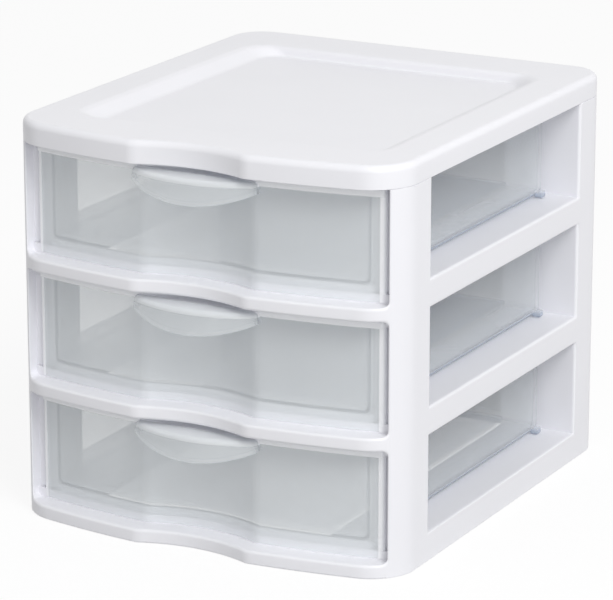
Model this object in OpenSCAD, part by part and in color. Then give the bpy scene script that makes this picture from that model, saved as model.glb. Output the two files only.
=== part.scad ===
// Stackable drawer box: a white moulded frame with three translucent drawers.
// +Z is up, the front faces -Y, and the origin is the middle of the base.

/* [Frame] */
// Width of the frame
body_w = 184; // [160:1:240]
// Depth of the frame from its front corners to its back
body_d = 206; // [170:1:280]
// Height of one drawer tier
tier_h = 55; // [50:1:90]
// Height of the top cover
cover_h = 10; // [9:0.5:16]
// Wall thickness of the frame mouldings
wall = 2.2; // [1.6:0.1:2.7]
// Radius of the four upright corners
corner_r = 16.5; // [12:0.5:20]

/* [Front curve] */
// How far the front bows out at its middle
bow = 11; // [0:0.5:18]
// Depth of the shallow scoop behind each pull
dip_d = 6.3; // [0:0.1:8]
// Width of the scoop
dip_w = 53; // [40:1:70]

/* [Posts and rails] */
// Width of a front post as seen from the front
post_face_w = 6; // [4.5:0.5:10]
// Thickness of a front post beside the drawer
post_w = 15; // [12:0.5:22]
// Length of a front post along the side
post_d = 29.5; // [26:0.5:45]
// Width of a rear column, from the side inwards
column_w = 36.5; // [24:0.5:50]
// Depth of a rear column
column_d = 30; // [22:0.5:45]
// Height of a side rail, up to the face that carries the drawer
rail_h = 12.5; // [10:0.5:16]
// Width of a side rail's top flange
flange_w = 18; // [17:0.5:24]
// Height of the locating rib inside the top cover
rib_h = 3; // [2:0.5:4]

/* [Shelves] */
// Height of the wavy front lip
lip_h = 6; // [5:0.5:8]
// Distance from the side of the frame to the open centre of a shelf
ledge_reach = 35; // [28:0.5:50]
// Depth of the stiffening edge along the open centre
ledge_edge_h = 5; // [3:0.5:7]
// Length of the tongue that carries a shelf
tongue_w = 8; // [5:0.5:12]

/* [Top tray] */
// Depth of the tray sunk in the top cover
tray_depth = 4.4; // [4.2:0.1:6]
// Width of the rim beside the tray
tray_side = 19; // [16:0.5:30]
// Width of the rim behind the tray
tray_back = 29; // [16:0.5:40]
// Width of the rim in front of the tray, from the front corners
tray_front = 20; // [18:0.5:40]
// Radius of the tray's corners
tray_r = 12; // [4:0.5:16]
// How far the tray's side walls lean in, from the rim to the floor
tray_lean = 8; // [0:0.5:12]

/* [Drawers] */
// Wall thickness of a drawer
drawer_wall = 1.6; // [1.2:0.1:2.2]
// Thickness of a drawer's front panel
panel_t = 2; // [1.6:0.1:3]
// How far the front panel stands back from the lip
panel_inset = 9; // [7:0.5:12]
// Gap between the front panel and a post
panel_side_gap = 3.5; // [1:0.5:4.5]
// Gap between the front panel and the lip below it
panel_low_gap = 0.5; // [0.4:0.1:1.5]
// Gap between the front panel and the lip above it
panel_top_gap = 1.3; // [0.8:0.1:2]
// Height of the raised band along the top of the front panel
band_h = 3.3; // [2:0.1:5]
// How far that band stands forward
band_out = 1; // [0.5:0.1:1.5]
// Gap between a drawer's side walls and the lip above
rim_gap = 4.5; // [2:0.5:12]
// Radius of a drawer's rear corners
tub_r = 6; // [3:0.5:10]
// Clearance beside a drawer
side_gap = 1.25; // [0.6:0.05:1.5]
// Running clearance under a drawer and behind it
run_gap = 0.3; // [0.25:0.05:0.6]
// How far a stop nub stands out from a drawer's side
stop_out = 3; // [2.4:0.1:4]
// Length of a stop nub
stop_len = 4; // [3:0.5:8]
// Height of a stop nub
stop_h = 4.5; // [3:0.5:8]

/* [Pulls] */
// Width of a pull
pull_w = 60; // [50:1:76]
// How far a pull stands out from the front panel
pull_d = 18.3; // [15:0.1:22]
// How far the ends of a pull stand out from the front panel
pull_end_d = 4.8; // [3:0.1:7]
// Height of a pull's skirt at its middle
pull_h = 10; // [8:0.5:14]
// Height of a pull's skirt at its ends
pull_end_h = 4; // [3:0.5:7]
// Wall thickness of a pull
pull_wall = 1.6; // [1.4:0.1:2.4]

/* [Hidden] */

frame_color = "whitesmoke";
drawer_color = [0.72, 0.77, 0.82, 0.55];

tiers = 3;
front_steps = 44;   // straight steps in a front curve
corner_steps = 8;   // straight steps in an upright corner
eps = 0.01;         // overrun of a cut past a face
fit_gap = 0.3;      // clearance of parts that are pushed together
groove_gap = 0.2;   // clearance of the back panel in its grooves
groove_lip = 3;     // depth of those grooves

frame_h = tiers * tier_h;                 // top of the side frames
total_h = frame_h + cover_h;
tray_z = total_h - tray_depth;            // floor of the tray
pull_reach = bow - dip_d - panel_inset + pull_d;      // pull beyond the front corners
total_d = body_d + pull_reach;
back_y = total_d / 2;
corner_y = back_y - body_d;               // line through the front corners
clear_y = -total_d;                       // a line well in front of the box
half_w = body_w / 2;

post_back_y = corner_y + post_d;
post_in_x = half_w - post_w;
open_x = half_w - post_face_w;            // half the width of a front opening
column_y = back_y - column_d;             // front face of the rear columns
column_in_x = half_w - column_w;
flange_in_x = half_w - flange_w;
ledge_in_x = half_w - ledge_reach;
flange_z = rail_h - wall;                 // underside of a rail's flange

panel_x = open_x - panel_side_gap;        // half the width of a front panel
panel_back = panel_inset + panel_t;
riser_front = panel_back + fit_gap;       // shelf riser, behind the front panel
riser_back = riser_front + wall;
step_y = front_y(panel_x) + panel_back + fit_gap;     // front of a post's thick part

tub_x = post_in_x - side_gap;
tub_z = rail_h + run_gap;                 // underside of a drawer, above its tier
tub_top_z = tier_h - rim_gap;
tub_back_y = column_y - run_gap;
panel_z = lip_h + panel_low_gap;
panel_top_z = tier_h - panel_top_gap;
pull_top_z = panel_top_z - band_h;
slot_y = back_y - 2 * (wall + groove_gap);    // front face of the back panel's groove

// Depth of the scoop at x
function dip(x) = dip_d * max(0, 1 - pow(2 * x / dip_w, 2));

// The front line of the frame, before its corners are rounded
function front_y(x) = corner_y - bow * (1 - pow(2 * x / body_w, 2)) + dip(x);

// How far the corner of radius r sets the line back at x
function corner_back(x, hw, r) =
    let (past = abs(x) - (hw - r))
    past > 0 ? r - sqrt(max(0, r * r - past * past)) : 0;

// The outline's half width and corner radius at a distance inside the skin
function inner_hw(inset) = half_w - inset;
function inner_r(inset) = corner_r - inset;

// The x values of the points along the front, closer together in the corners
function front_xs(inset) =
    let (r = inner_r(inset), flat = inner_hw(inset) - r)
    concat(
        [for (i = [0:corner_steps - 1]) -flat - r * cos(90 * i / corner_steps)],
        [for (i = [0:front_steps]) flat * (2 * i / front_steps - 1)],
        [for (i = [1:corner_steps]) flat + r * sin(90 * i / corner_steps)]);

// The plan of the frame, drawn in by inset all round
module plan(inset = 0) {
    hw = inner_hw(inset);
    r = inner_r(inset);
    front = [for (x = front_xs(inset)) [x, front_y(x) + inset + corner_back(x, hw, r)]];
    rear = back_y - inset - r;
    polygon(concat(front, [[hw, rear], [-hw, rear]]));
    translate([-hw + r, rear - eps]) square([2 * (hw - r), r + eps]);
    for (side = [-1, 1]) translate([side * (hw - r), rear]) circle(r, $fn = 64);
}

// A band that follows the front curve, from one depth behind it to another
module front_band(hw, near, far) {
    xs = [for (i = [0:front_steps]) hw * (2 * i / front_steps - 1)];
    polygon(concat(
        [for (x = xs) [x, front_y(x) + near]],
        [for (i = [front_steps:-1:0]) [xs[i], front_y(xs[i]) + far]]));
}

// A rectangle from one corner to the other
module area(x0, x1, y0, y1) {
    translate([x0, y0]) square([x1 - x0, y1 - y0]);
}

// A rectangle whose rear corners are rounded
module rear_rounded(hw, y0, y1, r) {
    area(-hw, hw, y0, y1 - r);
    area(-hw + r, hw - r, y0, y1);
    for (side = [-1, 1]) translate([side * (hw - r), y1 - r]) circle(r, $fn = 64);
}

// A rectangle with four rounded corners
module rounded(x0, x1, y0, y1, r) {
    area(x0 + r, x1 - r, y0, y1);
    area(x0, x1, y0 + r, y1 - r);
    for (x = [x0 + r, x1 - r], y = [y0 + r, y1 - r]) translate([x, y]) circle(r, $fn = 64);
}

module slab(z0, z1) {
    translate([0, 0, z0]) linear_extrude(z1 - z0) children();
}

// Plan of the right front post, inset for its hollow
module post_plan(inset = 0) {
    intersection() {
        plan(inset);
        area(open_x + inset, half_w, clear_y, post_back_y - inset);
    }
    area(post_in_x + inset, half_w - inset, step_y + inset, post_back_y - inset);
}

// Plan of the right rear column
module column_plan(inset = 0) {
    intersection() {
        plan(inset);
        area(column_in_x + inset, half_w, column_y + inset, back_y);
    }
}

// One side rail: outer skin, top flange and the tongue that carries a shelf
module side_rail() {
    slab(0, rail_h) area(half_w - wall, half_w, post_back_y - wall, column_y + wall);
    slab(flange_z, rail_h) area(flange_in_x, half_w, post_back_y - wall, column_y + wall);
    slab(flange_z - wall, flange_z)
        area(flange_in_x - tongue_w, flange_in_x + wall, post_back_y - wall, column_y);
}

// Groove on a column's inner wall in which the back panel slides
module panel_groove() {
    difference() {
        slab(0, frame_h)
            area(column_in_x - groove_lip, column_in_x + wall, slot_y - wall, back_y);
        slab(wall, frame_h + eps)
            area(column_in_x - groove_lip - eps, column_in_x, slot_y, back_y - wall);
    }
}

module side_frame() {
    difference() {
        union() {
            slab(0, frame_h) post_plan();
            slab(0, frame_h) column_plan();
        }
        slab(-eps, frame_h - wall) post_plan(wall);
        slab(-eps, frame_h - wall) column_plan(wall);
    }
    for (tier = [0:tiers - 1]) translate([0, 0, tier * tier_h]) side_rail();
    slab(0, wall) area(flange_in_x, half_w, post_back_y - wall, column_y + wall);
    top_rib();
    panel_groove();
}

// Rib that locates the top cover, from the post to the column
module top_rib() {
    slab(frame_h - eps, frame_h + rib_h)
        intersection() {
            difference() {
                plan(wall + fit_gap);
                plan(2 * wall + fit_gap);
            }
            area(open_x, half_w, corner_y, back_y);
        }
}

module right_side_frame() {
    color(frame_color) side_frame();
}

module left_side_frame() {
    color(frame_color) mirror([1, 0, 0]) side_frame();
}

module shelf() {
    color(frame_color) {
        slab(lip_h - wall, lip_h) lip_plan(-wall);
        slab(0, rail_h) lip_plan(riser_front);
        slab(0, lip_h) difference() {
            lip_plan(-wall);
            plan(wall);
        }
        for (side = [-1, 1]) {
            slab(flange_z, rail_h) ledge_plan(side, flange_in_x);
            slab(rail_h - ledge_edge_h, rail_h) ledge_plan(side, ledge_in_x + wall);
        }
    }
}

// Plan of the front lip behind the depth near, stopped by the riser and the posts
module lip_plan(near) {
    difference() {
        intersection() {
            plan();
            front_band(open_x, near, riser_back);
        }
        for (side = [-1, 1])
            area(side > 0 ? post_in_x : -half_w, side > 0 ? half_w : -post_in_x,
                 step_y, column_y);
    }
}

// A ledge beside the open centre, from the riser to the rear column
module ledge_plan(side, outer_x) {
    difference() {
        area(side > 0 ? ledge_in_x : -outer_x, side > 0 ? outer_x : -ledge_in_x,
             clear_y, column_y);
        front_band(half_w, clear_y, riser_front + wall / 2);
    }
}

module upper_shelf() {
    translate([0, 0, 2 * tier_h]) shelf();
}

module lower_shelf() {
    translate([0, 0, tier_h]) shelf();
}

module base_shelf() {
    shelf();
}

module back_panel() {
    panel_y = slot_y + groove_gap;
    color(frame_color) slab(wall, frame_h)
        area(groove_gap - column_in_x, column_in_x - groove_gap, panel_y, panel_y + wall);
}

// The tray's space, or the space with its wall where grow is the wall's thickness
module tray_space(grow = 0) {
    rim_x = half_w - tray_side + grow;
    floor_x = rim_x - tray_lean;
    intersection() {
        slab(tray_z - grow, total_h + eps)
            rounded(-rim_x, rim_x, corner_y + tray_front - grow, back_y - tray_back + grow,
                    tray_r + grow);
        rotate([90, 0, 0]) translate([0, 0, -back_y]) linear_extrude(total_d)
            polygon([[-floor_x, tray_z - grow], [floor_x, tray_z - grow],
                     [rim_x, total_h - grow], [rim_x, total_h + 2 * eps],
                     [-rim_x, total_h + 2 * eps], [-rim_x, total_h - grow]]);
    }
}

module top_cover() {
    color(frame_color) difference() {
        slab(frame_h, total_h) plan();
        tray_space();
        difference() {
            slab(frame_h - eps, total_h - wall) plan(wall);
            tray_space(wall);
        }
    }
}

// The half-moon pull, open below for the fingers
module pull_plan(inset = 0) {
    end_y = front_y(pull_w / 2) + panel_inset - pull_end_d;
    tip_y = front_y(0) + panel_inset - pull_d;
    rise = end_y - tip_y;
    arc_r = (pow(pull_w / 2, 2) + rise * rise) / (2 * rise);
    intersection() {
        translate([0, tip_y + arc_r]) circle(arc_r - inset, $fn = 180);
        area(-pull_w / 2 + inset, pull_w / 2 - inset, tip_y, corner_y + panel_back);
    }
}

module pull() {
    drop = pull_h - pull_end_h;
    cut_r = (pow(pull_w / 2, 2) + drop * drop) / (2 * drop);
    difference() {
        intersection() {
            slab(pull_top_z - pull_h, pull_top_z) pull_plan();
            translate([0, 0, pull_top_z - pull_h + cut_r])
                rotate([90, 0, 0]) cylinder(h = 2 * body_d, r = cut_r, center = true, $fn = 180);
        }
        slab(pull_top_z - pull_h - eps, pull_top_z - pull_wall) pull_plan(pull_wall);
        slab(0, tier_h) front_band(half_w, panel_inset + panel_t / 2, total_d);
    }
}

module drawer() {
    color(drawer_color) {
        slab(panel_z, panel_top_z) front_band(panel_x, panel_inset, panel_back);
        slab(pull_top_z, panel_top_z) front_band(panel_x, panel_inset - band_out, panel_back);
        pull();
        difference() {
            slab(tub_z, tub_top_z) rear_rounded(tub_x, clear_y, tub_back_y, tub_r);
            slab(tub_z + drawer_wall, tub_top_z + eps)
                rear_rounded(tub_x - drawer_wall, clear_y - eps,
                             tub_back_y - drawer_wall, tub_r - drawer_wall);
            slab(0, tier_h) front_band(half_w, 2 * clear_y, panel_inset + panel_t / 2);
        }
        for (side = [-1, 1]) stop_nub(side);
    }
}

// Nub that meets the back of the front post when the drawer is pulled out
module stop_nub(side) {
    y1 = tub_back_y - tub_r;
    slab(tub_z, tub_z + stop_h)
        area(side > 0 ? tub_x - drawer_wall / 2 : -tub_x - stop_out,
             side > 0 ? tub_x + stop_out : -tub_x + drawer_wall / 2,
             y1 - stop_len, y1);
}

module top_drawer() {
    translate([0, 0, 2 * tier_h]) drawer();
}

module middle_drawer() {
    translate([0, 0, tier_h]) drawer();
}

module bottom_drawer() {
    drawer();
}

top_cover();
left_side_frame();
right_side_frame();
back_panel();
upper_shelf();
lower_shelf();
base_shelf();
top_drawer();
middle_drawer();
bottom_drawer();
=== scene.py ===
# Stackable drawer box: a white moulded frame that holds three translucent drawers.
import math

import bmesh
import bpy
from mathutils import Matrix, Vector


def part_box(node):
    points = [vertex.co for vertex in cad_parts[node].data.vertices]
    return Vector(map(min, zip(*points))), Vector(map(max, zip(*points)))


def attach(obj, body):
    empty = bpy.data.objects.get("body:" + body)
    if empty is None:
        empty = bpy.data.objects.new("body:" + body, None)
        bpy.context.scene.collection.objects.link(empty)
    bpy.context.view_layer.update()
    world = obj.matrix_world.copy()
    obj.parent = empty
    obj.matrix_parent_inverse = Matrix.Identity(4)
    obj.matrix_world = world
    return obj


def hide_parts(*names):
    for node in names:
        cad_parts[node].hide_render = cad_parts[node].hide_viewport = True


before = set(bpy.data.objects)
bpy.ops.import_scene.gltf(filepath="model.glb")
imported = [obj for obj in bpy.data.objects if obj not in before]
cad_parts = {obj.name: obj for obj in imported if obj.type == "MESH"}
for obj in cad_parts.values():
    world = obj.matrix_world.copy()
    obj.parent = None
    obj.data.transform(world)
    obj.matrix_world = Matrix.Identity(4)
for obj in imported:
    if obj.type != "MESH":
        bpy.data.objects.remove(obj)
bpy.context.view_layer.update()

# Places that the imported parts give, in metres
coverLow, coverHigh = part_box("top_cover")
halfWidth, backY, topZ = coverHigh
seamZ = coverLow.z                      # the cover sits on the side frames here
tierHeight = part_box("top_drawer")[0].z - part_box("middle_drawer")[0].z
tierCount = 3

shell = {
    "bodyDepth": 0.206,                 # from the line of the front corners to the back
    "wall": 0.0022,
    "cornerRadius": 0.0165,
    "cornerSteps": 14,
}
frontLine = backY - shell["bodyDepth"]

frontCurve = {
    "bow": 0.011,
    "scoopDepth": 0.0063,
    "scoopWidth": 0.053,
    "stepsPerScoop": 20,                # straight steps across the scoop
}

closeTo = 1e-5                          # two places nearer than this are the same
over = 0.001                            # how far a cutter runs past a face
tuck = 0.00005                          # keeps two flush faces from lying in one plane
weldWithin = 2e-6                       # corners nearer than this are joined
sharpTurn = 60                          # the edges of a block turn by more degrees than this
slightTurn = 20                         # and this tells them from the steps of a round one


# modelling by hand

def makeActive(piece):
    bpy.ops.object.select_all(action="DESELECT")
    piece.select_set(True)
    bpy.context.view_layer.objects.active = piece


def addBlock(name, low, high):
    bpy.ops.object.select_all(action="DESELECT")
    middle = [(a + b) / 2 for a, b in zip(low, high)]
    size = [b - a for a, b in zip(low, high)]
    bpy.ops.mesh.primitive_cube_add(size=1, location=middle)
    piece = bpy.context.object
    piece.name = name
    piece.data.name = name
    piece.scale = size
    bpy.ops.object.transform_apply(location=True, rotation=True, scale=True)
    return piece


def pick(piece, kind, test):
    # opens the piece in edit mode with the parts that pass the test selected
    makeActive(piece)
    bpy.ops.object.mode_set(mode="EDIT")
    bpy.ops.mesh.select_mode(type=kind)
    bpy.ops.mesh.select_all(action="DESELECT")
    mesh = bmesh.from_edit_mesh(piece.data)
    mesh.normal_update()
    for part in {"VERT": mesh.verts, "EDGE": mesh.edges, "FACE": mesh.faces}[kind]:
        if test(part):
            part.select_set(True)
    bmesh.update_edit_mesh(piece.data)


def leaveEdit():
    bpy.ops.object.mode_set(mode="OBJECT")


def middleOf(edge):
    return (edge.verts[0].co + edge.verts[1].co) / 2


def same(a, b):
    return abs(a - b) < closeTo


def isUpright(edge):
    a, b = (v.co for v in edge.verts)
    return same(a.x, b.x) and same(a.y, b.y)


def isLevel(edge, z):
    return all(same(v.co.z, z) for v in edge.verts)


def runsBack(edge):
    # from the front to the back, or the other way
    a, b = (v.co for v in edge.verts)
    return same(a.x, b.x) and same(a.z, b.z)


def turns(edge, degrees=sharpTurn):
    return edge.calc_face_angle(0) > math.radians(degrees)


def pointsAlong(face, axis, direction=1):
    # a face that leans a little still passes
    return face.normal[axis] * direction > 0.9


def roundEdges(piece, radius, steps, test):
    pick(piece, "EDGE", test)
    bpy.ops.mesh.bevel(offset=radius, segments=steps, affect="EDGES", clamp_overlap=False)
    leaveEdit()


def deleteFaces(piece, test):
    pick(piece, "FACE", test)
    bpy.ops.mesh.delete(type="FACE")
    leaveEdit()


def cutAcross(piece, axis, place, keep=None):
    # keep "above" or "below" drops the other side and closes the cut
    normal = Vector(float(axis == i) for i in range(3))
    pick(piece, "FACE", lambda face: True)
    bpy.ops.mesh.bisect(
        plane_co=normal * place, plane_no=normal, threshold=1e-6,
        use_fill=keep is not None, clear_inner=keep == "above", clear_outer=keep == "below")
    leaveEdit()


def applyModifier(piece, kind, **values):
    makeActive(piece)
    modifier = piece.modifiers.new(kind.lower(), kind)
    for name, value in values.items():
        setattr(modifier, name, value)
    bpy.ops.object.modifier_apply(modifier=modifier.name)


def weld(piece):
    pick(piece, "VERT", lambda corner: True)
    bpy.ops.mesh.remove_doubles(threshold=weldWithin)
    bpy.ops.mesh.dissolve_degenerate(threshold=weldWithin)
    leaveEdit()


def combine(piece, other, operation):
    applyModifier(piece, "BOOLEAN", object=other, operation=operation, solver="EXACT")
    bpy.data.objects.remove(other)
    weld(piece)


def carve(piece, low, high):
    combine(piece, addBlock("cutter", low, high), "DIFFERENCE")


def addOn(piece, low, high):
    combine(piece, addBlock("addition", low, high), "UNION")


def shiftAlong(piece, axis, amount):
    # moves every corner along one axis by amount(place), which has one sign throughout
    moves = [amount(corner.co) for corner in piece.data.vertices]
    furthest = max(moves, key=abs)
    group = piece.vertex_groups.new(name="shift")
    for index, move in enumerate(moves):
        group.add([index], move / furthest, "REPLACE")
    applyModifier(piece, "DISPLACE", direction=axis, strength=furthest, mid_level=0,
                  vertex_group="shift")
    piece.vertex_groups.clear()


def giveWall(piece, thickness):
    applyModifier(piece, "SOLIDIFY", thickness=thickness, offset=-1, use_even_offset=True,
                  use_quality_normals=True)


def mendNormals(piece):
    weld(piece)
    pick(piece, "VERT", lambda corner: True)
    bpy.ops.mesh.normals_make_consistent(inside=False)
    leaveEdit()


def softenEdges(piece, width, steps, degrees=40):
    applyModifier(piece, "BEVEL", width=width, segments=steps, limit_method="ANGLE",
                  angle_limit=math.radians(degrees), use_clamp_overlap=False)


def smoothOver(piece, degrees=34):
    makeActive(piece)
    bpy.ops.object.shade_smooth_by_angle(angle=math.radians(degrees))
    applyModifier(piece, "WEIGHTED_NORMAL", keep_sharp=True, weight=80)


# the wavy front

def frontShift(x):
    # how far the front stands forward of the line of its corners, at x
    inScoop = max(0, 1 - (2 * x / frontCurve["scoopWidth"]) ** 2)
    return -frontCurve["bow"] * (1 - (x / halfWidth) ** 2) + frontCurve["scoopDepth"] * inScoop


def cornerBack(x):
    # how far the round corner sets the front back at x
    radius = shell["cornerRadius"]
    past = abs(x) - (halfWidth - radius)
    return radius - math.sqrt(max(0, radius ** 2 - past ** 2)) if past > 0 else 0


def slicePiece(piece, low, high):
    # upright cuts close enough together for the front to follow the wave and the round corners
    step = frontCurve["scoopWidth"] / frontCurve["stepsPerScoop"]
    radius, steps = shell["cornerRadius"], shell["cornerSteps"]
    straight = halfWidth - radius
    places = [number * step for number in range(int(straight / step) + 1)]
    places += [straight + radius * math.sin(math.radians(90 * number / steps)) for number in range(steps)]
    for place in sorted(set(places + [-place for place in places])):
        if low < place < high:
            cutAcross(piece, 0, place)


def curveFront(piece, behind):
    # a piece is modelled with a straight front, and what lies before behind is then curved
    straight = halfWidth - shell["cornerRadius"]
    slicePiece(piece, -straight, straight)
    shiftAlong(piece, "Y", lambda place: frontShift(place.x) if place.y < behind else 0)


def addPlanBlock(name, z0, z1, inset=0):
    # a block with the plan of the whole box and its four round upright corners
    piece = addBlock(name, (-halfWidth + inset, frontLine + inset, z0),
                     (halfWidth - inset, backY - inset, z1))
    roundEdges(piece, shell["cornerRadius"] - inset, shell["cornerSteps"], isUpright)
    return piece


# materials

class Wire:
    # one socket of a node tree, which Python expressions join to others
    def __init__(self, sheet, socket):
        self.sheet = sheet
        self.socket = socket

    def math(self, operation, *values):
        return self.sheet.node("Math", {"operation": operation}, dict(enumerate(values)))

    def __add__(self, other):
        return self.math("ADD", self, other)

    def __radd__(self, other):
        return self.math("ADD", other, self)

    def __sub__(self, other):
        return self.math("SUBTRACT", self, other)

    def __rsub__(self, other):
        return self.math("SUBTRACT", other, self)

    def __mul__(self, other):
        return self.math("MULTIPLY", self, other)

    def __rmul__(self, other):
        return self.math("MULTIPLY", other, self)

    def __pow__(self, other):
        return self.math("POWER", self, other)


class Sheet:
    # the node tree of a material or of the world
    def __init__(self, owner):
        owner.use_nodes = True
        self.tree = owner.node_tree
        self.tree.nodes.clear()

    def node(self, kind, settings=None, inputs=None, output=0):
        made = self.tree.nodes.new("ShaderNode" + kind)
        for name, value in (settings or {}).items():
            setattr(made, name, value)
        for name, value in (inputs or {}).items():
            if isinstance(value, Wire):
                self.tree.links.new(value.socket, made.inputs[name])
            else:
                made.inputs[name].default_value = value
        return Wire(self, made.outputs[output] if made.outputs else None)

    def noise(self, place, scale, detail=2.0, roughness=0.5):
        return self.node("TexNoise", {}, {"Vector": place, "Scale": scale, "Detail": detail,
                                          "Roughness": roughness}, "Fac")

    def ramp(self, value, start, end):
        return self.node("MapRange", {"interpolation_type": "SMOOTHSTEP"},
                         {"Value": value, "From Min": start, "From Max": end})

    def relief(self, place, values):
        # slow waves of a moulded face, with the fine grain of the mould on them
        slow = {"Height": self.noise(place, values["waveScale"], 1),
                "Distance": values["waveHeight"], "Strength": 1.0}
        fine = {"Height": self.noise(place, values["grainScale"], 1),
                "Distance": values["grainHeight"], "Strength": 1.0}
        fine["Normal"] = self.node("Bump", {}, slow, "Normal")
        return self.node("Bump", {}, fine, "Normal")

    def blend(self, factor, a, b):
        # a Mix node has its two colours at the sockets 6 and 7, and their blend comes out of 2
        made = self.node("Mix", {"data_type": "RGBA"}, {0: factor}, 2)
        for name, value in ((6, a), (7, b)):
            if isinstance(value, Wire):
                self.tree.links.new(value.socket, made.socket.node.inputs[name])
            else:
                made.socket.node.inputs[name].default_value = value
        return made


def seenRays(sheet):
    # 1 where the ray comes from the camera, a gloss or a clear surface
    path = sheet.node("LightPath")
    rays = [Wire(sheet, path.socket.node.outputs[name])
            for name in ("Is Camera Ray", "Is Glossy Ray", "Is Transmission Ray")]
    return rays[0].math("MAXIMUM", rays[0].math("MAXIMUM", rays[0], rays[1]), rays[2])


whiteFinish = {
    "colour": (0.86, 0.86, 0.895, 1),
    "shade": (0.825, 0.825, 0.86, 1),   # where the moulding is a little greyer
    "roughness": 0.34,
    "roughnessSpread": 0.10,
    "cloudScale": 18,
    "scuffScale": 420,
    "scuffEdge": 0.6,                   # how sharply the roughness changes
    "grainScale": 2600,                 # the fine satin of the mould
    "grainHeight": 0.000006,
    "waveScale": 55,                    # slow waves of a large moulded face
    "waveHeight": 0.00008,
    "gloss": 1.49,                      # index of refraction
}


def makeWhitePlastic():
    values = whiteFinish
    material = bpy.data.materials.new("whitePlastic")
    sheet = Sheet(material)
    place = sheet.node("TexCoord", output="Object")
    cloud = sheet.noise(place, values["cloudScale"], 3)
    scuff = sheet.noise(place, values["scuffScale"], 3, values["scuffEdge"])
    colour = sheet.blend(cloud, values["colour"], values["shade"])
    roughness = values["roughness"] + (scuff - 0.5) * values["roughnessSpread"]
    shader = sheet.node("BsdfPrincipled", {}, {
        "Base Color": colour, "Roughness": roughness, "IOR": values["gloss"],
        "Normal": sheet.relief(place, values)})
    sheet.node("OutputMaterial", {}, {"Surface": shader})
    return material


clearFinish = {
    "colour": (0.90, 0.935, 0.955, 1),
    "milk": (0.925, 0.955, 0.97, 1),
    "tubAlpha": 0.17,
    "panelAlpha": 0.47,
    "pullAlpha": 0.22,
    "edgeAlpha": 0.30,                  # more where the sheet is seen along itself
    "edgeBlend": 0.35,                  # and how early that sets in
    "cloudScale": 26,
    "cloudAlpha": 0.03,
    "roughness": 0.22,
    "roughnessSpread": 0.10,
    "grainScale": 1800,
    "grainHeight": 0.000004,
    "waveScale": 40,
    "waveHeight": 0.00025,
    "gloss": 1.5,
    # painted light: the thick border of each drawer's front is milkier, and it is painted whiter still to
    # stand for light that the shade under the lip takes away
    "borderMilkAndLightColour": (0.97, 0.98, 1.0, 1),
    "borderMilkAndLightAlpha": 0.46,                  # more in the thick border, which is milkier and is also painted lighter to lift it out of the shade under the lip
    "pullShare": 0.5,                   # the share of that milk and painted light which the top of the pull lacks
    "borderMilkAndLightHeights": (0.0500, 0.0507),    # where the milky, painted-light border sets in, above the foot of the tier
    "borderMilkAndLightPlaces": (0.0798, 0.0806),   # and at the ends of the panel, where it is a painted highlight on the round upright edges
    # painted shade: the floor of the tub and its lower edges are darker and bluer, where the inside of the
    # drawer lies in shade
    "floorShadeColour": (0.43, 0.49, 0.59, 1),
    "floorShadeAlpha": 0.34,                  # more in the floor of the tub and its lower edges, to carry the painted shade
    "floorShadeHeights": (0.0160, 0.0145),
    "ledgeLightPlaces": (0.0562, 0.0572),     # painted light: the floor's painted shade is lifted from here, where it rests on the white ledges
    "ledgeLightEnds": (0.0748, 0.0738),       # to here
    "ledgeLightShare": 0.7,
    "panelDepths": (-0.0857, -0.0865),  # where the front panel begins
    "pullDepths": (-0.0982, -0.0995),   # where the pull begins
}


def makeClearPlastic():
    values = clearFinish
    material = bpy.data.materials.new("clearPlastic")
    sheet = Sheet(material)
    place = sheet.node("TexCoord", output="Object")
    cloud = sheet.noise(place, values["cloudScale"], 3)
    colour = sheet.blend(cloud, values["colour"], values["milk"])
    roughness = values["roughness"] + (cloud - 0.5) * values["roughnessSpread"]
    along = sheet.node("LayerWeight", {}, {"Blend": values["edgeBlend"]}, "Facing")
    parts = sheet.node("SeparateXYZ", {}, {"Vector": place})
    across, depth, rise = (Wire(sheet, parts.socket.node.outputs[name]) for name in "XYZ")
    height = rise.math("MODULO", rise, tierHeight)
    across = across.math("ABSOLUTE", across)
    # painted highlight along the round upright ends of the front panel
    end = sheet.ramp(across, *values["borderMilkAndLightPlaces"])
    front = sheet.ramp(depth, *values["panelDepths"])
    pull = sheet.ramp(depth, *values["pullDepths"])
    # the milky border at the top of the front, painted lighter against the shade under the lip; the top of
    # the pull gets less of it
    borderMilkAndLight = front * end.math("MAXIMUM", end, sheet.ramp(height, *values["borderMilkAndLightHeights"]))
    borderMilkAndLight = borderMilkAndLight * (1 - pull * values["pullShare"])
    # painted light where the floor lies over the white ledges
    ledgeLight = sheet.ramp(across, *values["ledgeLightPlaces"]) * sheet.ramp(across, *values["ledgeLightEnds"])
    # painted shade on the floor of the tub and its lower edges, lifted over the ledges
    floorShade = (1 - front) * sheet.ramp(height, *values["floorShadeHeights"]) * (1 - ledgeLight * values["ledgeLightShare"])
    colour = sheet.blend(floorShade, colour, values["floorShadeColour"])
    colour = sheet.blend(borderMilkAndLight, colour, values["borderMilkAndLightColour"])
    alpha = values["tubAlpha"] + (along ** 2) * values["edgeAlpha"]
    alpha = alpha + (cloud - 0.5) * values["cloudAlpha"]
    alpha = alpha + front * (values["panelAlpha"] - values["tubAlpha"]) + floorShade * values["floorShadeAlpha"]
    alpha = alpha + pull * (values["pullAlpha"] - values["panelAlpha"]) + borderMilkAndLight * values["borderMilkAndLightAlpha"]
    shader = sheet.node("BsdfPrincipled", {}, {
        "Base Color": colour, "Roughness": roughness, "Alpha": alpha, "IOR": values["gloss"],
        "Normal": sheet.relief(place, values)})
    sheet.node("OutputMaterial", {}, {"Surface": shader})
    return material


whitePlastic = makeWhitePlastic()
clearPlastic = makeClearPlastic()


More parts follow.
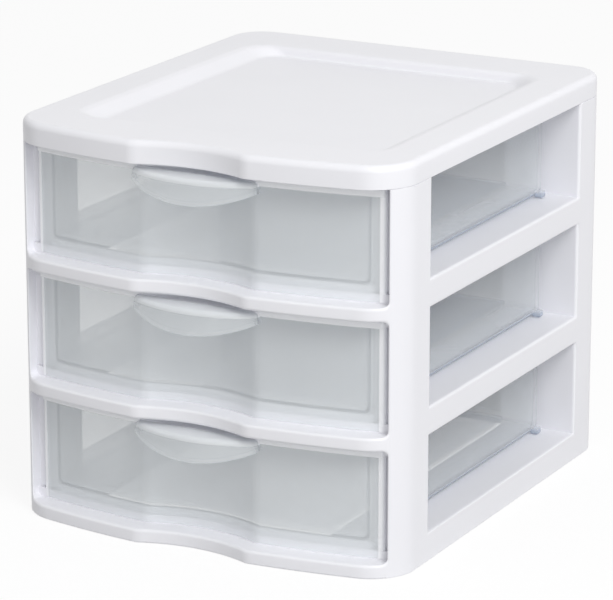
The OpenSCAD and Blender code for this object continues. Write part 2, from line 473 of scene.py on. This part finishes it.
def finishPiece(piece, node, body, material):
    piece.data.materials.clear()
    piece.data.materials.append(material)
    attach(piece, body)
    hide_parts(node)
    print(piece.name, len(piece.data.polygons), "faces")


def copyPiece(piece, name, lift):
    copied = piece.copy()
    copied.data = piece.data.copy()
    copied.name = name
    copied.data.name = name
    bpy.context.scene.collection.objects.link(copied)
    makeActive(copied)
    bpy.ops.transform.translate(value=(0, 0, lift))
    bpy.ops.object.transform_apply(location=True, rotation=True, scale=True)
    return copied


# top cover

coverShape = {
    "edgeRadius": 0.0030,
    "edgeSteps": 6,
    "seamRadius": 0.0004,
    "seamSteps": 2,
    "traySide": 0.019,                  # width of the rim beside the tray
    "trayBack": 0.029,
    "trayFront": 0.020,
    "trayRadius": 0.012,
    "trayDepth": 0.0044,
    "trayLean": 0.008,                  # how far the side walls lean in
    "trayDraft": 0.0008,                # how far the front and back walls lean in
    "rimRound": 0.0023,
    "floorRound": 0.0012,
    "traySteps": 4,                     # steps of these two
}


def makeTopCover():
    shape = coverShape
    wall = shell["wall"]
    rimX = halfWidth - shape["traySide"]
    trayY0, trayY1 = frontLine + shape["trayFront"], backY - shape["trayBack"]
    floorZ = topZ - shape["trayDepth"]

    tray = addBlock("tray", (-rimX, trayY0, floorZ), (rimX, trayY1, topZ))
    roundEdges(tray, shape["trayRadius"], shell["cornerSteps"], isUpright)
    pick(tray, "FACE", lambda face: pointsAlong(face, 2))
    bpy.ops.mesh.extrude_region_move(TRANSFORM_OT_translate={"value": (0, 0, over)})
    leaveEdit()
    pick(tray, "VERT", lambda corner: same(corner.co.z, floorZ))
    halfLength = (trayY1 - trayY0) / 2
    bpy.ops.transform.resize(
        value=(1 - shape["trayLean"] / rimX, 1 - shape["trayDraft"] / halfLength, 1),
        center_override=(0, (trayY0 + trayY1) / 2, floorZ))
    leaveEdit()
    cover = addPlanBlock("topCover", seamZ, topZ)
    combine(cover, tray, "DIFFERENCE")

    def onRim(edge):
        place = middleOf(edge)
        return abs(place.x) < rimX + closeTo and trayY0 - closeTo < place.y < trayY1 + closeTo

    roundEdges(cover, shape["edgeRadius"], shape["edgeSteps"],
               lambda edge: isLevel(edge, topZ) and turns(edge) and not onRim(edge))
    roundEdges(cover, shape["rimRound"], shape["traySteps"],
               lambda edge: isLevel(edge, topZ) and turns(edge, slightTurn) and onRim(edge))
    roundEdges(cover, shape["floorRound"], shape["traySteps"],
               lambda edge: isLevel(edge, floorZ) and turns(edge, slightTurn))
    roundEdges(cover, shape["seamRadius"], shape["seamSteps"],
               lambda edge: isLevel(edge, seamZ) and turns(edge))

    hollow = addPlanBlock("hollow", seamZ - over, topZ - wall, wall)
    below = addBlock("below", (-rimX - wall, trayY0 - wall, floorZ - wall),
                     (rimX + wall, trayY1 + wall, topZ))
    roundEdges(below, shape["trayRadius"] + wall, shell["cornerSteps"], isUpright)
    combine(hollow, below, "DIFFERENCE")
    combine(cover, hollow, "DIFFERENCE")
    curveFront(cover, trayY0 - wall - over / 2)
    mendNormals(cover)
    smoothOver(cover)
    finishPiece(cover, "top_cover", "frame", whitePlastic)


# side frames

sideShape = {
    "postFace": 0.006,                  # width of a front post seen from the front
    "postWidth": 0.015,
    "postLength": 0.0295,
    "columnWidth": 0.0365,
    "columnLength": 0.030,
    "railHeight": 0.0125,
    "flangeWidth": 0.018,
    "grooveLip": 0.003,
    "grooveGap": 0.0002,
    "windowRadius": 0.0014,
    "windowSteps": 4,
    "edgeRadius": 0.0004,
    "edgeSteps": 2,
}
panelShape = {
    "inset": 0.009,                     # the drawer's front stands this far behind the lip
    "thickness": 0.002,
    "sideGap": 0.0035,
    "lowGap": 0.0005,
    "topGap": 0.0013,
    "fitGap": 0.0003,
}
openX = halfWidth - sideShape["postFace"]
postX = halfWidth - sideShape["postWidth"]
postBackY = frontLine + sideShape["postLength"]
columnY = backY - sideShape["columnLength"]
columnX = halfWidth - sideShape["columnWidth"]
flangeX = halfWidth - sideShape["flangeWidth"]
flangeZ = sideShape["railHeight"] - shell["wall"]
panelX = openX - panelShape["sideGap"]
panelBack = panelShape["inset"] + panelShape["thickness"]
stepY = frontLine + frontShift(panelX) + panelBack + panelShape["fitGap"]
farY = frontLine - 0.02                 # well in front of everything
nearFront = frontLine + 0.006           # only the front face and its rounded edges lie before this

openingShape = {
    "lipHeight": 0.006,
    "pastTop": 0.02,                    # the top opening is cut on through the seam
    "corner": 0.0025,                   # round corners of each drawer's opening
    "cornerSteps": 5,
    "flare": 0.0013,                    # round edge between the opening and the front face
    "flareSteps": 5,
}


def cutOpening(piece, tier):
    # takes a drawer's opening, with its flared edge, out of a piece whose front is still straight
    shape = openingShape
    flare = shape["flare"]
    low = tier * tierHeight + shape["lipHeight"]
    high = (tier + 1) * tierHeight + (shape["pastTop"] if tier == tierCount - 1 else 0)
    cutter = addBlock("opening", (-openX, frontLine + flare, low), (openX, stepY, high))
    roundEdges(cutter, shape["corner"], shape["cornerSteps"], runsBack)
    halfHeight = (high - low) / 2
    middle = (0, frontLine, (low + high) / 2)
    pick(cutter, "FACE", lambda face: pointsAlong(face, 1, -1))
    before = (0, 0)
    for number in range(1, shape["flareSteps"] + 1):
        angle = math.radians(90 * number / shape["flareSteps"])
        out, forward = flare * (1 - math.cos(angle)), flare * math.sin(angle)
        bpy.ops.mesh.extrude_region_move(TRANSFORM_OT_translate={"value": (0, before[1] - forward, 0)})
        bpy.ops.transform.resize(
            value=((openX + out) / (openX + before[0]), 1, (halfHeight + out) / (halfHeight + before[0])),
            center_override=middle)
        before = (out, forward)
    bpy.ops.mesh.extrude_region_move(TRANSFORM_OT_translate={"value": (0, -over, 0)})
    leaveEdit()
    mendNormals(cutter)
    combine(piece, cutter, "DIFFERENCE")


def isOutside(place):
    # on the outer skin of the box, while its front is still straight
    straight = halfWidth - shell["cornerRadius"]
    onCorner = Vector((place.x - straight, place.y - backY + shell["cornerRadius"])).length
    return (place.x > halfWidth - closeTo or place.y > backY - closeTo or place.y < frontLine + closeTo
            or place.x > straight and abs(onCorner - shell["cornerRadius"]) < closeTo * 5)


def makeSideFrame():
    shape = sideShape
    wall = shell["wall"]
    side = addBlock("rightSideFrame", (columnX, frontLine, 0), (halfWidth, backY, seamZ))
    roundEdges(side, shell["cornerRadius"], shell["cornerSteps"],
               lambda edge: isUpright(edge) and edge.verts[0].co.x > columnX + over
               and edge.verts[0].co.y > backY - closeTo)
    carve(side, (columnX - over, farY, -over), (flangeX, columnY, seamZ + over))
    carve(side, (flangeX - over, farY, -over), (postX, postBackY, seamZ + over))
    carve(side, (postX - over, farY, -over), (openX, stepY, seamZ + over))
    for tier in range(tierCount):
        floor = tier * tierHeight
        roof = floor + tierHeight + (over if tier == tierCount - 1 else 0)
        carve(side, (flangeX - over, postBackY, floor + shape["railHeight"]),
              (halfWidth + over, columnY, roof))
        hollow = wall if tier == 0 else floor - over
        carve(side, (flangeX - over, postBackY, hollow),
              (halfWidth - wall, columnY, floor + flangeZ))

    def roundsWindow(edge):
        a, b = (corner.co for corner in edge.verts)
        onSkin = same(a.x, halfWidth) and same(b.x, halfWidth)
        inside = all(postBackY - closeTo < place.y < columnY + closeTo and place.z > over
                     for place in (a, b))
        return onSkin and inside and turns(edge)

    roundEdges(side, shape["windowRadius"], shape["windowSteps"], roundsWindow)
    for tier in range(tierCount):
        cutOpening(side, tier)
    hollowPosts(side)
    grooveY = backY - 2 * wall - 2 * shape["grooveGap"]
    addOn(side, (columnX - shape["grooveLip"], grooveY - wall, 0), (columnX + wall / 2, backY, seamZ))
    carve(side, (columnX - shape["grooveLip"] - over, grooveY, wall), (columnX, backY - wall, seamZ + over))

    def onOutline(edge):
        place = middleOf(edge)
        onSide = place.x > halfWidth - closeTo
        return onSide or place.y > backY - shell["cornerRadius"] or same(place.y, frontLine)

    roundEdges(side, shape["edgeRadius"], shape["edgeSteps"],
               lambda edge: (isLevel(edge, 0) or isLevel(edge, seamZ)) and turns(edge) and edge.is_convex
               and onOutline(edge) and all(isOutside(corner.co) for corner in edge.verts))
    reach = openingShape["corner"] + openingShape["flare"] + closeTo
    for tier in range(tierCount):
        cutAcross(side, 2, tier * tierHeight + openingShape["lipHeight"] + reach)
        if tier:
            cutAcross(side, 2, tier * tierHeight - reach)
    slicePiece(side, openX + closeTo, halfWidth)
    shiftAlong(side, "Y",
               lambda place: frontShift(place.x) + cornerBack(place.x) if place.y < nearFront else 0)
    mendNormals(side)
    smoothOver(side)
    return side


def hollowPosts(side):
    # the post and the column are hollow and open below
    wall = shell["wall"]
    carve(side, (postX + wall, stepY + wall, -over), (halfWidth - wall, postBackY - wall, seamZ - wall))
    core = addBlock("core", (columnX + wall, columnY + wall, -over),
                    (halfWidth - wall, backY - wall, seamZ - wall))
    roundEdges(core, shell["cornerRadius"] - wall, shell["cornerSteps"],
               lambda edge: isUpright(edge) and edge.verts[0].co.x > halfWidth - wall - closeTo
               and edge.verts[0].co.y > backY - wall - closeTo)
    combine(side, core, "DIFFERENCE")


def mirrorPiece(piece, name):
    mirrored = copyPiece(piece, name, 0)
    makeActive(mirrored)
    bpy.ops.object.mode_set(mode="EDIT")
    bpy.ops.mesh.select_all(action="SELECT")
    bpy.ops.transform.resize(value=(-1, 1, 1), center_override=(0, 0, 0))
    bpy.ops.mesh.normals_make_consistent(inside=False)
    leaveEdit()
    smoothOver(mirrored)
    return mirrored


# shelves

shelfShape = {
    "ledgeReach": 0.035,
    "ledgeEdge": 0.005,                 # height of the stiffening edge at the open centre
    "edgeRadius": 0.0006,
    "footRadius": 0.0008,
    "edgeSteps": 3,                     # steps of these two
    "postGap": 0.0002,
    "stepGap": 0.0001,
}


def makeShelf(name, tier):
    shape = shelfShape
    wall = shell["wall"]
    lipHeight = openingShape["lipHeight"]
    corner = openingShape["corner"] + openingShape["flare"]
    riserFront = frontLine + panelBack + panelShape["fitGap"]
    riserBack = riserFront + wall
    ledgeX = halfWidth - shape["ledgeReach"]
    floor = tier * tierHeight
    top = floor + sideShape["railHeight"]

    shelf = addBlock(name, (-openX, frontLine, max(0, floor - corner)),
                     (openX, riserBack, floor + lipHeight + corner))
    cutOpening(shelf, tier)
    if tier:
        cutOpening(shelf, tier - 1)
    deep = openX - corner
    carve(shelf, (-deep, frontLine + wall, floor - over), (deep, riserFront, floor + lipHeight - wall))
    addOn(shelf, (-openX, riserFront, floor), (openX, riserBack, top))
    for side in (-1, 1):
        outer, inner = side * flangeX, side * ledgeX
        addOn(shelf, (min(outer, inner), riserFront + wall / 2, floor + flangeZ),
              (max(outer, inner), columnY, top))
        edge = side * (ledgeX + wall)
        addOn(shelf, (min(edge, inner), riserFront + wall / 2, top - shape["ledgeEdge"]),
              (max(edge, inner), columnY, top))
    for side in (-1, 1):
        near, far = side * (postX - shape["postGap"]), side * (halfWidth + over)
        carve(shelf, (min(near, far), stepY - frontShift(openX) - shape["stepGap"], floor - 2 * corner),
              (max(near, far), postBackY, top + over))
    roundEdges(shelf, shape["edgeRadius"], shape["edgeSteps"],
               lambda edge: turns(edge) and edge.is_convex and isLevel(edge, top)
               and runsBack(edge) and abs(edge.verts[0].co.x) < ledgeX + closeTo)
    if not tier:
        roundEdges(shelf, shape["footRadius"], shape["edgeSteps"],
                   lambda edge: turns(edge) and isLevel(edge, 0) and same(middleOf(edge).y, frontLine))
    slicePiece(shelf, -openX, openX)

    shiftAlong(shelf, "Y", lambda place: cornerBack(place.x) if place.y < nearFront else 0)
    shiftAlong(shelf, "Y", lambda place: frontShift(place.x) if place.y < riserBack + over else 0)
    mendNormals(shelf)
    smoothOver(shelf)
    return shelf


# back panel

backShape = {
    "border": 0.006,
    "sink": 0.0003,                     # the field inside the border lies this much deeper
    "edgeRadius": 0.0003,
    "edgeSteps": 2,
}


def makeBackPanel():
    shape = backShape
    low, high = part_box("back_panel")
    panel = addBlock("backPanel", low, high)
    for direction in (-1, 1):
        pick(panel, "FACE", lambda face: pointsAlong(face, 1, direction))
        bpy.ops.mesh.inset(thickness=shape["border"])
        bpy.ops.mesh.inset(thickness=shape["sink"], depth=-shape["sink"])
        leaveEdit()
    softenEdges(panel, shape["edgeRadius"], shape["edgeSteps"], sharpTurn)
    smoothOver(panel)
    finishPiece(panel, "back_panel", "frame", whitePlastic)


# drawers

drawerShape = {
    "wall": 0.0016,
    "bandHeight": 0.0033,
    "bandOut": 0.001,
    "panelEdge": 0.0015,                # round upright edges of the front
    "panelSteps": 5,
    "bandEdge": 0.0007,
    "bandSteps": 3,
    "rimGap": 0.0045,                   # between the tub's rim and the lip above
    "rearRadius": 0.006,
    "rearSteps": 8,
    "footRadius": 0.003,                # round lower edges of the tub
    "footSteps": 5,
    "sideGap": 0.00125,
    "runGap": 0.0003,
    "stopOut": 0.003,
    "stopLength": 0.004,
    "stopHeight": 0.003,
    "stopRadius": 0.0006,
    "stopSteps": 3,
    "rimRadius": 0.0006,                # round rim of the tub
    "rimSteps": 4,
    "curveReach": 0.005,                # what lies less far behind the front follows the wave
}
pullShape = {
    "width": 0.059,
    "reach": 0.0183,
    "endReach": 0.0048,
    "skirt": 0.011,
    "skirtEnd": 0.005,
    "wall": 0.0016,
    "rimRadius": 0.0018,
    "rimSteps": 5,
    "beadHeight": 0.0018,
    "beadOut": 0.0004,
    "beadTaper": 0.3,                   # how much flatter its upper edge curves
    "corner": 0.002,                    # how far the rounding of its two corners reaches
    "cornerSteps": 5,
    "cornerClear": 0.0003,              # and how much further no edge of the arc may lie
    "arcSteps": 256,                    # steps in a full circle of its outline
    "smileSteps": 192,                  # and of its lower edge
    "smileLength": 0.08,
    "intoBand": 0.0022,                 # its top runs this far up into the band
}


def addArcBlock(name, radius, half, tipY, z0, z1, corner):
    # a block whose front is an arc, with round upright corners at the ends of the arc
    bpy.ops.object.select_all(action="DESELECT")
    bpy.ops.mesh.primitive_cylinder_add(
        vertices=pullShape["arcSteps"], radius=radius, depth=z1 - z0,
        location=(0, tipY + radius, (z0 + z1) / 2))
    piece = bpy.context.object
    piece.name = name
    bpy.ops.object.transform_apply(location=True, rotation=True, scale=True)
    cutAcross(piece, 0, -half, "above")
    cutAcross(piece, 0, half, "below")
    cutAcross(piece, 1, frontLine + panelBack, "below")
    pick(piece, "EDGE", lambda edge: isUpright(edge) and edge.verts[0].co.y < frontLine
         and closeTo < half - abs(edge.verts[0].co.x) < corner + pullShape["cornerClear"])
    bpy.ops.mesh.dissolve_edges()
    leaveEdit()
    roundEdges(piece, corner, pullShape["cornerSteps"],
               lambda edge: isUpright(edge) and turns(edge, slightTurn)
               and edge.verts[0].co.y < frontLine + panelBack - over)
    return piece


def addSmile(bottom, radius):
    # a lying cylinder whose lowest line is the lowest line of the pull
    bpy.ops.object.select_all(action="DESELECT")
    bpy.ops.mesh.primitive_cylinder_add(
        vertices=pullShape["smileSteps"], radius=radius, depth=pullShape["smileLength"],
        location=(0, frontLine, bottom + radius), rotation=(math.pi / 2, 0, 0))
    smile = bpy.context.object
    bpy.ops.object.transform_apply(location=True, rotation=True, scale=True)
    return smile


def makePull(top):
    shape = pullShape
    half, wall, bead = shape["width"] / 2, shape["wall"], shape["beadHeight"]
    tipY = frontLine + frontShift(0) + panelShape["inset"] - shape["reach"]
    endY = frontLine + frontShift(half) + panelShape["inset"] - shape["endReach"]
    rise = endY - tipY
    radius = (half * half + rise * rise) / (2 * rise)
    bottom = top - shape["skirt"]
    drop = shape["skirt"] - shape["skirtEnd"]
    smileRadius = (half * half + drop * drop) / (2 * drop)
    out = shape["beadOut"]

    pull = addArcBlock("pull", radius - out, half - out, tipY + out, bottom - over, top, shape["corner"])
    roundEdges(pull, shape["rimRadius"], shape["rimSteps"],
               lambda edge: isLevel(edge, top) and turns(edge)
               and middleOf(edge).y < frontLine + panelBack - closeTo)
    beadBlock = addArcBlock("bead", radius, half, tipY, bottom - over, top - over, shape["corner"])
    combine(beadBlock, addSmile(bottom + bead, smileRadius - bead * shape["beadTaper"]), "DIFFERENCE")
    combine(pull, beadBlock, "UNION")
    combine(pull, addSmile(bottom, smileRadius), "INTERSECT")
    inside = addArcBlock("inside", radius - wall, half - wall, tipY + wall,
                         bottom - 2 * over, top - wall, shape["corner"])
    combine(pull, inside, "DIFFERENCE")
    slicePiece(pull, -half, half)
    shiftAlong(pull, "Y", lambda place: -frontShift(place.x))    # straight for now, as the front is
    cutAcross(pull, 1, frontLine + panelShape["inset"] + panelShape["thickness"] / 2, "below")
    return pull


def makeDrawer():
    shape = drawerShape
    railTop = sideShape["railHeight"]
    panelTop = tierHeight - panelShape["topGap"]
    panelLow = openingShape["lipHeight"] + panelShape["lowGap"]
    bandLow = panelTop - shape["bandHeight"]
    frontY = frontLine + panelShape["inset"]
    tubX = postX - shape["sideGap"]
    tubZ0, tubZ1 = railTop + shape["runGap"], tierHeight - shape["rimGap"]
    tubBack = columnY - shape["runGap"]
    middleY = frontY + panelShape["thickness"] / 2

    panel = addBlock("bottomDrawer", (-panelX, frontY, panelLow),
                     (panelX, frontY + panelShape["thickness"], panelTop))
    roundEdges(panel, shape["panelEdge"], shape["panelSteps"],
               lambda edge: isUpright(edge) and edge.verts[0].co.y < frontY + closeTo)
    cutAcross(panel, 2, bandLow)
    forward = -0.05                     # the round upright edges are taken too
    pick(panel, "FACE", lambda face: face.normal.y < forward and face.calc_center_median().z > bandLow)
    bpy.ops.mesh.extrude_region_move(TRANSFORM_OT_translate={"value": (0, -shape["bandOut"], 0)})
    leaveEdit()
    roundEdges(panel, shape["bandEdge"], shape["bandSteps"],
               lambda edge: turns(edge) and edge.is_convex
               and (isLevel(edge, panelTop) or isLevel(edge, bandLow))
               and middleOf(edge).y < frontY + shape["panelEdge"] - shape["bandOut"])

    tub = addBlock("tub", (-tubX, middleY, tubZ0), (tubX, tubBack, tubZ1))
    roundEdges(tub, shape["rearRadius"], shape["rearSteps"],
               lambda edge: isUpright(edge) and edge.verts[0].co.y > tubBack - closeTo)
    roundEdges(tub, shape["footRadius"], shape["footSteps"],
               lambda edge: isLevel(edge, tubZ0) and turns(edge)
               and middleOf(edge).y > middleY + closeTo)
    deleteFaces(tub, lambda face: pointsAlong(face, 2) or pointsAlong(face, 1, -1))
    giveWall(tub, shape["wall"])
    roundEdges(tub, shape["rimRadius"], shape["rimSteps"],
               lambda edge: isLevel(edge, tubZ1) and turns(edge) and middleOf(edge).y > middleY + closeTo)
    for side in (-1, 1):
        near, far = side * (tubX - shape["wall"] / 2), side * (tubX + shape["stopOut"])
        stopY = tubBack - shape["rearRadius"]
        stop = addBlock("stop", (min(near, far), stopY - shape["stopLength"], tubZ0 + tuck),
                        (max(near, far), stopY, tubZ0 + shape["stopHeight"]))
        softenEdges(stop, shape["stopRadius"], shape["stopSteps"])
        combine(tub, stop, "UNION")
    combine(panel, tub, "UNION")
    combine(panel, makePull(bandLow + pullShape["intoBand"]), "UNION")
    curveFront(panel, frontY + shape["curveReach"])
    mendNormals(panel)
    smoothOver(panel)
    return panel


# everything in its place

makeTopCover()
rightSide = makeSideFrame()
leftSide = mirrorPiece(rightSide, "leftSideFrame")
finishPiece(rightSide, "right_side_frame", "frame", whitePlastic)
finishPiece(leftSide, "left_side_frame", "frame", whitePlastic)
makeBackPanel()

baseShelf = makeShelf("baseShelf", 0)
lowerShelf = makeShelf("lowerShelf", 1)
upperShelf = copyPiece(lowerShelf, "upperShelf", tierHeight)
for shelf, node in ((baseShelf, "base_shelf"), (lowerShelf, "lower_shelf"), (upperShelf, "upper_shelf")):
    finishPiece(shelf, node, "frame", whitePlastic)

bottomDrawer = makeDrawer()
middleDrawer = copyPiece(bottomDrawer, "middleDrawer", tierHeight)
topDrawer = copyPiece(bottomDrawer, "topDrawer", 2 * tierHeight)
for drawer, node in ((bottomDrawer, "bottom_drawer"), (middleDrawer, "middle_drawer"),
                     (topDrawer, "top_drawer")):
    finishPiece(drawer, node, node, clearPlastic)


# floor, light and camera

studio = {
    "floorSize": 12,
    "floorDrop": 0.0001,
    "floorColour": (0.56, 0.56, 0.56, 1),
    "floorSeen": 0.88,                  # share of plain white in the floor that the camera sees
    "lampAim": (0, 0, 0.09),
    "worldLevel": 0.53,
    "bounces": 16,                      # the inside is lit by light that the white walls throw on
    "diffuseBounces": 10,
    "clearBounces": 32,
}
keyLamp = {
    "azimuth": 58,
    "elevation": 45,
    "distance": 2.2,
    "size": 1.0,
    "power": 25,
}
lowLamp = {
    "azimuth": 44,
    "elevation": 10,
    "distance": 2.4,
    "size": 0.9,
    "power": 9,
}
photoView = {
    "aim": (0.0168, -0.0343, 0.0944),
    "azimuth": 28.36,
    "elevation": 16.4,
    "distance": 1.5,
    "lens": 206.43,
    "sensor": 36,
    "clip": (0.05, 50),
}


def directionTo(azimuth, elevation):
    a, e = math.radians(azimuth), math.radians(elevation)
    return Vector((math.sin(a) * math.cos(e), -math.cos(a) * math.cos(e), math.sin(e)))


def makeFloor():
    bpy.ops.object.select_all(action="DESELECT")
    bpy.ops.mesh.primitive_plane_add(size=studio["floorSize"], location=(0, 0, -studio["floorDrop"]))
    floor = bpy.context.object
    floor.name = "floor"
    material = bpy.data.materials.new("paleFloor")
    sheet = Sheet(material)
    seen = seenRays(sheet)
    colour = sheet.blend(seen, studio["floorColour"], (1, 1, 1, 1))
    lit = sheet.node("BsdfDiffuse", {}, {"Color": colour})
    plain = sheet.node("Emission", {}, {"Color": (1, 1, 1, 1), "Strength": 1.0})
    mixed = sheet.node("MixShader", {}, {0: seen * studio["floorSeen"], 1: lit, 2: plain})
    sheet.node("OutputMaterial", {}, {"Surface": mixed})
    floor.data.materials.append(material)


def makeWorld():
    world = bpy.data.worlds.new("studio")
    bpy.context.scene.world = world
    sheet = Sheet(world)
    level = studio["worldLevel"]
    strength = level + seenRays(sheet) * (1 - level)
    background = sheet.node("Background", {}, {"Color": (1, 1, 1, 1), "Strength": strength})
    sheet.node("OutputWorld", {}, {"Surface": background})


def makeLamp(name, values):
    light = bpy.data.lights.new(name, "AREA")
    light.shape = "SQUARE"
    light.size = values["size"]
    light.energy = values["power"]
    lamp = bpy.data.objects.new(name, light)
    bpy.context.scene.collection.objects.link(lamp)
    toward = directionTo(values["azimuth"], values["elevation"])
    lamp.location = Vector(studio["lampAim"]) + toward * values["distance"]
    lamp.rotation_euler = (-toward).to_track_quat("-Z", "Y").to_euler()


def makeCamera():
    view = photoView
    data = bpy.data.cameras.new("photoView")
    data.lens = view["lens"]
    data.sensor_width = view["sensor"]
    data.clip_start, data.clip_end = view["clip"]
    camera = bpy.data.objects.new("photoView", data)
    bpy.context.scene.collection.objects.link(camera)
    back = directionTo(view["azimuth"], view["elevation"])
    camera.location = Vector(view["aim"]) + back * view["distance"]
    camera.rotation_euler = (-back).to_track_quat("-Z", "Y").to_euler()
    bpy.context.scene.camera = camera


makeFloor()
makeWorld()
makeLamp("keyLamp", keyLamp)
makeLamp("lowLamp", lowLamp)
makeCamera()
bpy.context.scene.view_settings.view_transform = "Standard"
bpy.context.scene.cycles.max_bounces = studio["bounces"]
bpy.context.scene.cycles.diffuse_bounces = studio["diffuseBounces"]
bpy.context.scene.cycles.transparent_max_bounces = studio["clearBounces"]
print("floor, light and camera ready")
